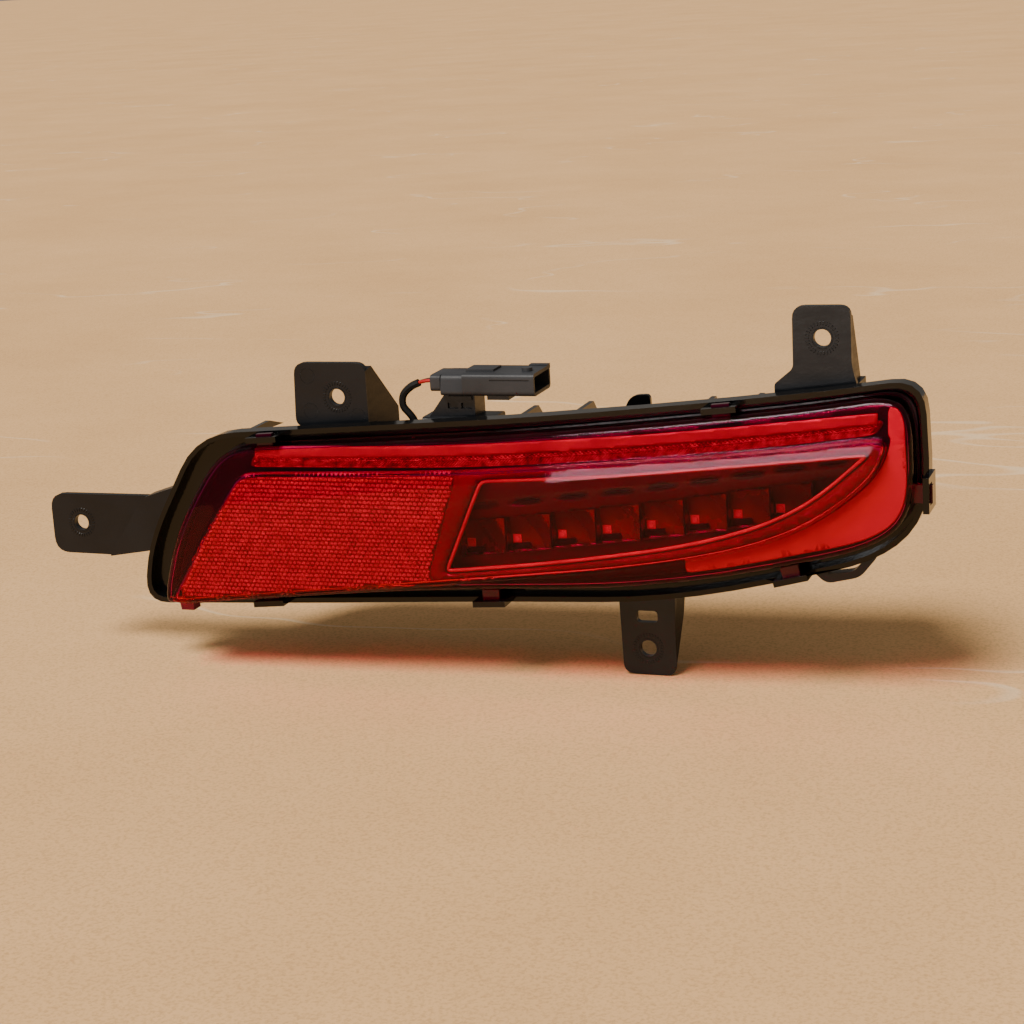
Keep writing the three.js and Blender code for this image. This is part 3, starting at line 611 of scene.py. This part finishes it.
def make_strip():
    """A plain band above, a double row of beads in the middle and slanted ridges below."""
    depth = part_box("prism_strip")[0].y
    region = resampled(face_loops("prism_strip", depth, -1)[0], 420, 6)
    plate("strip_base", region, [], depth + 1.0 * MM, 1.8 * MM, STRIP_BASE,
          ["prism_strip"], spacing=1.6 * MM)
    edge = inset(region, 0.4 * MM)
    xs = np.linspace(edge[:, 0].min() + 1.5 * MM, edge[:, 0].max() - 1.5 * MM, 160)
    spans = np.array([height_span(edge, x) for x in xs])

    def level(share):
        return spans[:, 0] + (spans[:, 1] - spans[:, 0]) * share

    top = np.c_[xs, spans[:, 1] + 3.2 * MM]
    plate("strip_upper_band", np.r_[np.c_[xs, level(0.78)], top[::-1]], [], depth + 0.3 * MM,
          0.8 * MM, BAND, spacing=1.5 * MM)
    bead_rows("strip_beads", xs, level(0.58), depth + 1.0 * MM)
    slanted_ridges("strip_ridges", xs, level(0.04), level(0.42), depth + 1.0 * MM, 1.25 * MM,
                   0.6 * MM)
    bead_line("strip_line_low", xs, level(0.0), depth + 0.9 * MM, 0.28 * MM)
    bead_line("strip_line_middle", xs, level(0.47), depth + 0.9 * MM, 0.22 * MM)
    bead_line("strip_line_upper", xs, level(0.72), depth + 1.0 * MM, 0.18 * MM)


def bead_rows(name, xs, heights, depth):
    """Two staggered rows of four-sided beads."""
    pitch, half, rise = 1.75 * MM, 0.62 * MM, 0.85 * MM
    vertices, faces = [], []
    for row in (0, 1):
        for x in np.arange(xs[0] + row * pitch / 2, xs[-1], pitch):
            z = np.interp(x, xs, heights) + (row - 0.5) * half
            y = depth + crown(x, z)
            first = len(vertices)
            vertices += [(x - pitch * 0.46, y, z), (x, y, z - half), (x + pitch * 0.46, y, z),
                         (x, y, z + half), (x + 0.1 * pitch, y - rise, z + 0.1 * half)]
            faces += [(first + k, first + (k + 1) % 4, first + 4) for k in range(4)]
    return mesh_piece(name, vertices, faces, PRISM, smooth=False)


def bead_line(name, xs, heights, depth, radius):
    """A thin raised line along the strip."""
    sides = 6
    vertices, faces = [], []
    for x, z in zip(xs, heights):
        for s in range(sides):
            turn = 2 * math.pi * s / sides
            y = depth + crown(x, z) + radius * math.sin(turn)
            vertices.append((x, y, z + radius * math.cos(turn)))
    for i in range(len(xs) - 1):
        for s in range(sides):
            t = (s + 1) % sides
            faces.append((i * sides + s, i * sides + t, (i + 1) * sides + t, (i + 1) * sides + s))
    return mesh_piece(name, vertices, faces, PRISM)


def slanted_ridges(name, xs, bottoms, tops, depth, pitch, rise):
    """A row of leaning ridges between two edges."""
    lean = 2.2 * MM
    vertices, faces = [], []
    for x in np.arange(xs[0], xs[-1] - lean - pitch, pitch):
        z0, z1 = np.interp(x, xs, bottoms), np.interp(x + lean, xs, tops)
        section = [(0.0, 0.0), (pitch * 0.42, rise), (pitch * 0.8, 0.0)]
        first = len(vertices)
        for start, z in ((x, z0), (x + lean, z1)):
            vertices += [(start + along, depth + crown(start, z) - up, z) for along, up in section]
        faces += [(first, first + 1, first + 4, first + 3)]
        faces += [(first + 1, first + 2, first + 5, first + 4)]
        faces += [(first, first + 2, first + 1), (first + 3, first + 4, first + 5)]
    return mesh_piece(name, vertices, faces, PRISM, smooth=False)


# ------------------------------------------------------------------ LED row

def led_centres():
    centres = []
    for k in range(9):
        low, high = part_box(f"led_{k + 1}")
        centres.append(((low.x + high.x) / 2, (low.z + high.z) / 2))
    return np.array(centres)


LEDS = led_centres()
LED_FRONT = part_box("led_1")[0].y
CUP_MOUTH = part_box("led_reflector_tray")[0].y


CLIMB = 0.1135                          # each cup's floor climbs to the right
CUP_BELOW = 4.2 * MM                    # from an LED down to its cup's lower edge
CUP_ABOVE = 10.6 * MM                   # and up to its upper edge
CUP_FOCUS = 12 * MM


def make_cups():
    """Nine faceted cups. Each has its LED low on the left, a curved back and flat side walls."""
    columns, rows = 17, 14
    vertices, faces = [], []
    lefts = LEDS[:, 0] - 2.6 * MM
    lefts = np.r_[lefts, lefts[-1] + (lefts[-1] - lefts[-2])]
    for k, (lx, lz) in enumerate(LEDS):
        x0, x1 = lefts[k] + 0.35 * MM, lefts[k + 1] - 0.35 * MM
        z0, z1 = lz - CUP_BELOW, lz + CUP_ABOVE
        first = len(vertices)
        for j in range(rows + 1):
            for i in range(columns + 1):
                x = x0 + (x1 - x0) * i / columns
                z = z0 + (z1 - z0) * j / rows + CLIMB * (x - lx)
                away = (x - lx) ** 2 + (z - lz) ** 2
                y = LED_FRONT + 1.0 * MM - away / (4 * CUP_FOCUS)
                vertices.append((x, max(y, CUP_MOUTH + 0.3 * MM), z))
        width = columns + 1
        for j in range(rows):
            for i in range(columns):
                a = first + j * width + i
                faces.append((a, a + 1, a + 1 + width, a + width))
        rim = [first + i for i in range(width)]
        rim += [first + j * width + columns for j in range(1, rows + 1)]
        rim += [first + rows * width + i for i in range(columns - 1, -1, -1)]
        rim += [first + j * width for j in range(rows - 1, 0, -1)]
        ahead = len(vertices)
        vertices += [(vertices[i][0], CUP_MOUTH, vertices[i][2]) for i in rim]
        count = len(rim)
        faces += [(rim[(i + 1) % count], rim[i], ahead + i, ahead + (i + 1) % count)
                  for i in range(count)]
    mesh_piece("cup_facets", vertices, faces, TRAY, smooth=False)
    return lefts


def make_tray(lefts):
    """The face round the cups, with a row of arched recesses above them."""
    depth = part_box("led_reflector_tray")[0].y
    outer = resampled(face_loops("led_reflector_tray", depth, -1)[0], 360)
    spacing = 0.9 * MM
    low, high = outer.min(0), outer.max(0)
    xs = np.arange(low[0], high[0] + spacing, spacing)
    zs = np.arange(low[1], high[1] + spacing, spacing)
    vertices, faces, index = [], [], {}
    centres = np.array([(x, z) for z in zs for x in xs])
    kept = inside(centres, outer)
    width = len(xs)

    def depth_at(x, z):
        k = int(np.clip(np.searchsorted(lefts, x) - 1, 0, len(LEDS) - 1))
        lx, lz = LEDS[k]
        across = 2 * (x - lefts[k]) / (lefts[k + 1] - lefts[k]) - 1
        above = z - (lz + CUP_ABOVE + CLIMB * (x - lx))
        if above < 0:
            return 1.4 * MM
        dip = 1.4 * MM * max(0.0, 1 - above / (5.5 * MM))
        slit = 1 - (across / 0.82) ** 2 - ((above - 6.0 * MM) / (1.1 * MM)) ** 2
        return dip + (2.4 * MM * math.sqrt(slit) if slit > 0 else 0.0)

    def in_cup(x, z):
        k = int(np.searchsorted(lefts, x) - 1)
        if k < 0 or k >= len(LEDS):
            return False
        lx, lz = LEDS[k]
        rise = CLIMB * (x - lx)
        return lz - 4.0 * MM < z - rise < lz + 10.4 * MM

    for n, (x, z) in enumerate(centres):
        if kept[n]:
            index[n] = len(vertices)
            vertices.append((x, depth + depth_at(x, z), z))
    for r in range(len(zs) - 1):
        for c in range(width - 1):
            n = r * width + c
            corners = (n, n + 1, n + 1 + width, n + width)
            if all(m in index for m in corners):
                mx, mz = centres[n] + spacing / 2
                if not in_cup(mx, mz):
                    faces.append(tuple(index[m] for m in corners))
    piece = mesh_piece("tray_face", vertices, faces, TRAY_FACE,
                       replaces=["led_reflector_tray"])
    return thicken(piece, 0.8 * MM)


def make_slit_shade(lefts):
    """Near-black dashes above the cups, set in the arched recesses: painted shade for the slits."""
    outer = inset(resampled(face_loops("led_reflector_tray", CUP_MOUTH, -1)[0], 360), 1.2 * MM)
    count = 24
    turns = np.linspace(0, 2 * math.pi, count, endpoint=False)
    vertices, faces = [], []
    for k, (lx, lz) in enumerate(LEDS):
        x = (lefts[k] + lefts[k + 1]) / 2
        z = lz + 16.4 * MM + CLIMB * (x - lx)
        ring = [(x + 5.4 * MM * math.cos(t), z + 0.55 * MM * math.sin(t) + 0.61 * MM * math.cos(t))
                for t in turns]
        if not inside(np.array(ring), outer).all():
            continue
        first = len(vertices)
        vertices += [(px, y, pz) for y in (CUP_MOUTH - 0.15 * MM, CUP_MOUTH + 1.4 * MM)
                     for px, pz in ring]
        faces.append(tuple(range(first, first + count)))
        faces.append(tuple(range(first + 2 * count - 1, first + count - 1, -1)))
        faces += wall_faces(first + count, first, count)
    piece = mesh_piece("cup_slit_shade", vertices, faces, SLOT_PAINTED_SHADE, smooth=False)
    return closed_mesh(piece)


def make_slot_shade():
    """Near-black blocks under the LEDs: painted shade for the openings there."""
    vertices, faces = [], []
    for lx, lz in LEDS:
        x0, x1 = lx - 1.8 * MM, lx + 6.6 * MM
        z0, z1 = lz - 4.0 * MM, lz - 1.9 * MM
        y0, y1 = LED_FRONT - 0.6 * MM, LED_FRONT + 1.4 * MM
        first = len(vertices)
        vertices += [(x, y, z + 0.12 * (x - lx)) for y in (y0, y1) for x, z in
                     ((x0, z0), (x1, z0), (x1 - 1 * MM, z1), (x0, z1))]
        faces += [(first, first + 1, first + 2, first + 3)]
        faces += [(first + 7, first + 6, first + 5, first + 4)]
        faces += wall_faces(first + 4, first, 4)
    piece = mesh_piece("cup_slot_shade", vertices, faces, SLOT_PAINTED_SHADE, smooth=False)
    return closed_mesh(piece)


# ------------------------------------------------------------------ housing, brackets, connector

def make_housing():
    refined("rear_housing", 0.45 * MM, HOUSING)
    for node in ("left_bracket", "upper_left_bracket", "upper_right_bracket", "lower_bracket"):
        refined(node, 0.8 * MM, BRACKET, 4)
    refined("lower_clip_loop", 0.3 * MM, BRACKET)
    refined("connector_bracket", 0.4 * MM, BRACKET)
    refined("connector_body", 0.35 * MM, CONNECTOR)
    refined("connector_rear_cap", 0.35 * MM, CONNECTOR)


def ring_marks(name, x, z, depth, radius, count, size, look):
    """Small raised teeth in a ring on a bracket's face."""
    vertices, faces = [], []
    width, height, rise = size
    for k in range(count):
        turn = 2 * math.pi * k / count
        out = Vector((math.cos(turn), 0, math.sin(turn)))
        side = Vector((-math.sin(turn), 0, math.cos(turn)))
        middle = Vector((x, depth, z)) + out * radius
        first = len(vertices)
        for up in (0.0, -rise):
            taper = 1.0 if up == 0 else 0.7
            half_out, half_side = height / 2 * taper, width / 2 * taper
            vertices += [middle + out * (a * half_out) + side * (b * half_side) + Vector((0, up, 0))
                         for a, b in ((-1, -1), (1, -1), (1, 1), (-1, 1))]
        faces += [(first + 4, first + 5, first + 6, first + 7)]
        faces += wall_faces(first, first + 4, 4)
    return closed_mesh(mesh_piece(name, vertices, faces, look, smooth=False))


def make_bracket_marks():
    """Serrated rings round the bolt holes, and the round marks left by ejector pins."""
    for opening in frame["record"]["physics"]["openings"]:
        name, box = opening["name"], opening["box_m"]
        if name.endswith("bolt_hole"):
            x, z = (box[0][0] + box[1][0]) / 2, (box[0][2] + box[1][2]) / 2
            ring_marks(f"{name}_teeth", x, z, SEAT, 5.9 * MM, 30,
                       (0.55 * MM, 1.5 * MM, 0.22 * MM), BRACKET)
            ring_marks(f"{name}_rim", x, z, SEAT, 4.1 * MM, 36,
                       (0.8 * MM, 0.5 * MM, 0.12 * MM), BRACKET)
    for k, (x, z) in enumerate([(-13, 9), (-12.5, -6), (9, -8)]):
        ring_marks(f"ejector_mark_{k + 1}", x * MM, z * MM, SEAT, 3.2 * MM, 40,
                   (0.55 * MM, 0.25 * MM, 0.08 * MM), BRACKET)


def dress_small_nodes():
    """The small CAD nodes keep their shape and get a finish of their own."""
    board = moulded("board_mask", (0.010, 0.07, 0.028), (0.018, 0.11, 0.045), (0.3, 0.45))
    epoxy = moulded("chip_epoxy", (0.012, 0.012, 0.012), (0.03, 0.03, 0.03), (0.4, 0.6))
    nylon = moulded("nylon_white", (0.55, 0.52, 0.46), (0.7, 0.67, 0.6), (0.4, 0.55))
    steel, *_ = material("screw_zinc", Base_Color=(0.6, 0.6, 0.62), Metallic=1.0, Roughness=0.32)
    brass, *_ = material("blade_tin", Base_Color=(0.66, 0.6, 0.45), Metallic=1.0, Roughness=0.28)
    can, *_ = material("can_aluminium", Base_Color=(0.6, 0.61, 0.63), Metallic=1.0, Roughness=0.3)
    red_wire = moulded("wire_red_skin", (0.38, 0.012, 0.014), (0.5, 0.02, 0.02), (0.35, 0.5))
    looks = {"circuit_board": board, "driver_chip": epoxy, "surge_diode": epoxy,
             "ballast_resistor": epoxy, "board_header": nylon, "smoothing_capacitor": can,
             "lens_seal": RUBBER, "lead_grommet": RUBBER, "lead_sleeve": RUBBER,
             "lead_wire_black": RUBBER, "board_wire_black": RUBBER, "breather_vent": RUBBER,
             "lead_wire_red": red_wire, "board_wire_red": red_wire}
    looks |= {f"board_screw_{k}": steel for k in (1, 2, 3)}
    looks |= {f"connector_pin_{k}": brass for k in (1, 2, 3)}
    looks |= {f"led_{k + 1}": EMITTER for k in range(9)}
    for node, look in looks.items():
        data = frame["nodes"][node].data
        data.materials.clear()
        data.materials.append(look)


# ------------------------------------------------------------------ camera, floor and light

CAMERA_AZIMUTH = math.radians(20)
CAMERA_ELEVATION = math.radians(14)
CAMERA_ROLL = math.radians(3.5)
CAMERA_DISTANCE = 0.9
CAMERA_LENS = 79.1
CAMERA_AIM = Vector((86, -30, -40)) * MM


def make_camera():
    a, e, r = CAMERA_AZIMUTH, CAMERA_ELEVATION, CAMERA_ROLL
    back = Vector((math.sin(a) * math.cos(e), -math.cos(a) * math.cos(e), math.sin(e)))
    right = Vector((math.cos(a), math.sin(a), 0))
    up = back.cross(right)
    across = right * math.cos(r) - up * math.sin(r)
    above = right * math.sin(r) + up * math.cos(r)
    data = bpy.data.cameras.new("camera")
    data.sensor_width = 36
    data.lens = CAMERA_LENS
    camera = bpy.data.objects.new("camera", data)
    turn = Matrix((across, above, back)).transposed().to_4x4()
    camera.matrix_world = Matrix.Translation(CAMERA_AIM + back * CAMERA_DISTANCE) @ turn
    bpy.context.scene.collection.objects.link(camera)
    bpy.context.scene.camera = camera


def make_floor():
    size = 30
    floor_z = CAD_BOX[0].z - 0.1 * MM
    mesh = bpy.data.meshes.new("floor")
    corners = [(-size, -size), (size, -size), (size, size), (-size, size)]
    mesh.from_pydata([(x, y, floor_z) for x, y in corners], [], [(0, 1, 2, 3)])
    floor = bpy.data.objects.new("floor", mesh)
    bpy.context.scene.collection.objects.link(floor)
    look, nodes, links, shader = material("floor_paper", Roughness=0.9, Specular_IOR_Level=0.2)
    vector = coordinates(nodes, links)
    tone = noise(nodes, links, vector, 5.0, 6.0)
    paper = ramp(nodes, links, tone, [(0.3, (0.83, 0.49, 0.215)), (0.7, (0.91, 0.55, 0.25))])
    grain = ramp(nodes, links, noise(nodes, links, vector, 700.0, 2.0, 0.7),
                 [(0.30, (0.78, 0.76, 0.72)), (0.55, (1.0, 1.0, 1.0))])
    product = nodes.new("ShaderNodeMix")
    product.data_type = "RGBA"
    product.blend_type = "MULTIPLY"
    product.inputs["Factor"].default_value = 1.0
    links.new(paper, product.inputs[6])
    links.new(grain, product.inputs[7])
    # thin lighter lines, in patches, mixed into the paper colour: painted highlights along the creases
    stretched = coordinates(nodes, links, (1.0, 2.4, 1.0))
    crease_highlight_lines = ramp(nodes, links, noise(nodes, links, stretched, 2.6, 3.0, 0.5),
                 [(0.490, (0, 0, 0)), (0.499, (1, 1, 1)), (0.503, (0, 0, 0))])
    where = ramp(nodes, links, noise(nodes, links, vector, 6.5, 2.0),
                 [(0.52, (0, 0, 0)), (0.62, (0.55, 0.55, 0.55))])
    crease_highlight_mask = nodes.new("ShaderNodeMath")
    crease_highlight_mask.operation = "MULTIPLY"
    links.new(crease_highlight_lines, crease_highlight_mask.inputs[0])
    links.new(where, crease_highlight_mask.inputs[1])
    painted_crease_highlight = nodes.new("ShaderNodeMix")
    painted_crease_highlight.data_type = "RGBA"
    painted_crease_highlight.inputs[7].default_value = (1.0, 0.80, 0.56, 1.0)
    links.new(crease_highlight_mask.outputs[0], painted_crease_highlight.inputs[0])
    links.new(product.outputs[2], painted_crease_highlight.inputs[6])
    links.new(painted_crease_highlight.outputs[2], shader.inputs["Base Color"])
    folds = noise(nodes, links, coordinates(nodes, links, (1.0, 0.8, 1.0)), 7.0, 3.0, 0.45)
    bump(nodes, links, shader, folds, 0.012, 0.6)
    mesh.materials.append(look)


def softbox(name, place, aim, size, power, color=(1, 1, 1)):
    data = bpy.data.lights.new(name, "AREA")
    data.shape = "RECTANGLE"
    data.size, data.size_y = size
    data.energy = power
    data.color = color
    light = bpy.data.objects.new(name, data)
    light.location = place
    light.rotation_mode = "QUATERNION"
    light.rotation_quaternion = (Vector(place) - Vector(aim)).to_track_quat("Z", "Y")
    light.visible_camera = False
    bpy.context.scene.collection.objects.link(light)


def make_light():
    world = bpy.data.worlds.new("studio")
    world.use_nodes = True
    world.node_tree.nodes["Background"].inputs["Color"].default_value = (0.95, 0.86, 0.76, 1)
    world.node_tree.nodes["Background"].inputs["Strength"].default_value = 0.26
    bpy.context.scene.world = world
    sun = bpy.data.lights.new("sun", "SUN")
    sun.energy = 3.8
    sun.angle = math.radians(24)
    sun.color = (1.0, 0.96, 0.90)
    lamp = bpy.data.objects.new("sun", sun)
    lamp.rotation_mode = "QUATERNION"
    lamp.rotation_quaternion = Vector((-0.25, -0.62, 1.0)).to_track_quat("Z", "Y")
    bpy.context.scene.collection.objects.link(lamp)
    softbox("face_strip", (-0.05, -0.83, -0.025), (0.19, -0.03, 0.0), (0.26, 0.07), 0.6)


make_camera()
make_floor()
make_light()
make_housing()
make_bracket_marks()
make_lens()
make_lens_tabs()
make_reflex()
make_bezel()
make_window()
make_strip()
CUP_LEFTS = make_cups()
make_tray(CUP_LEFTS)
make_slit_shade(CUP_LEFTS)
make_slot_shade()
dress_small_nodes()
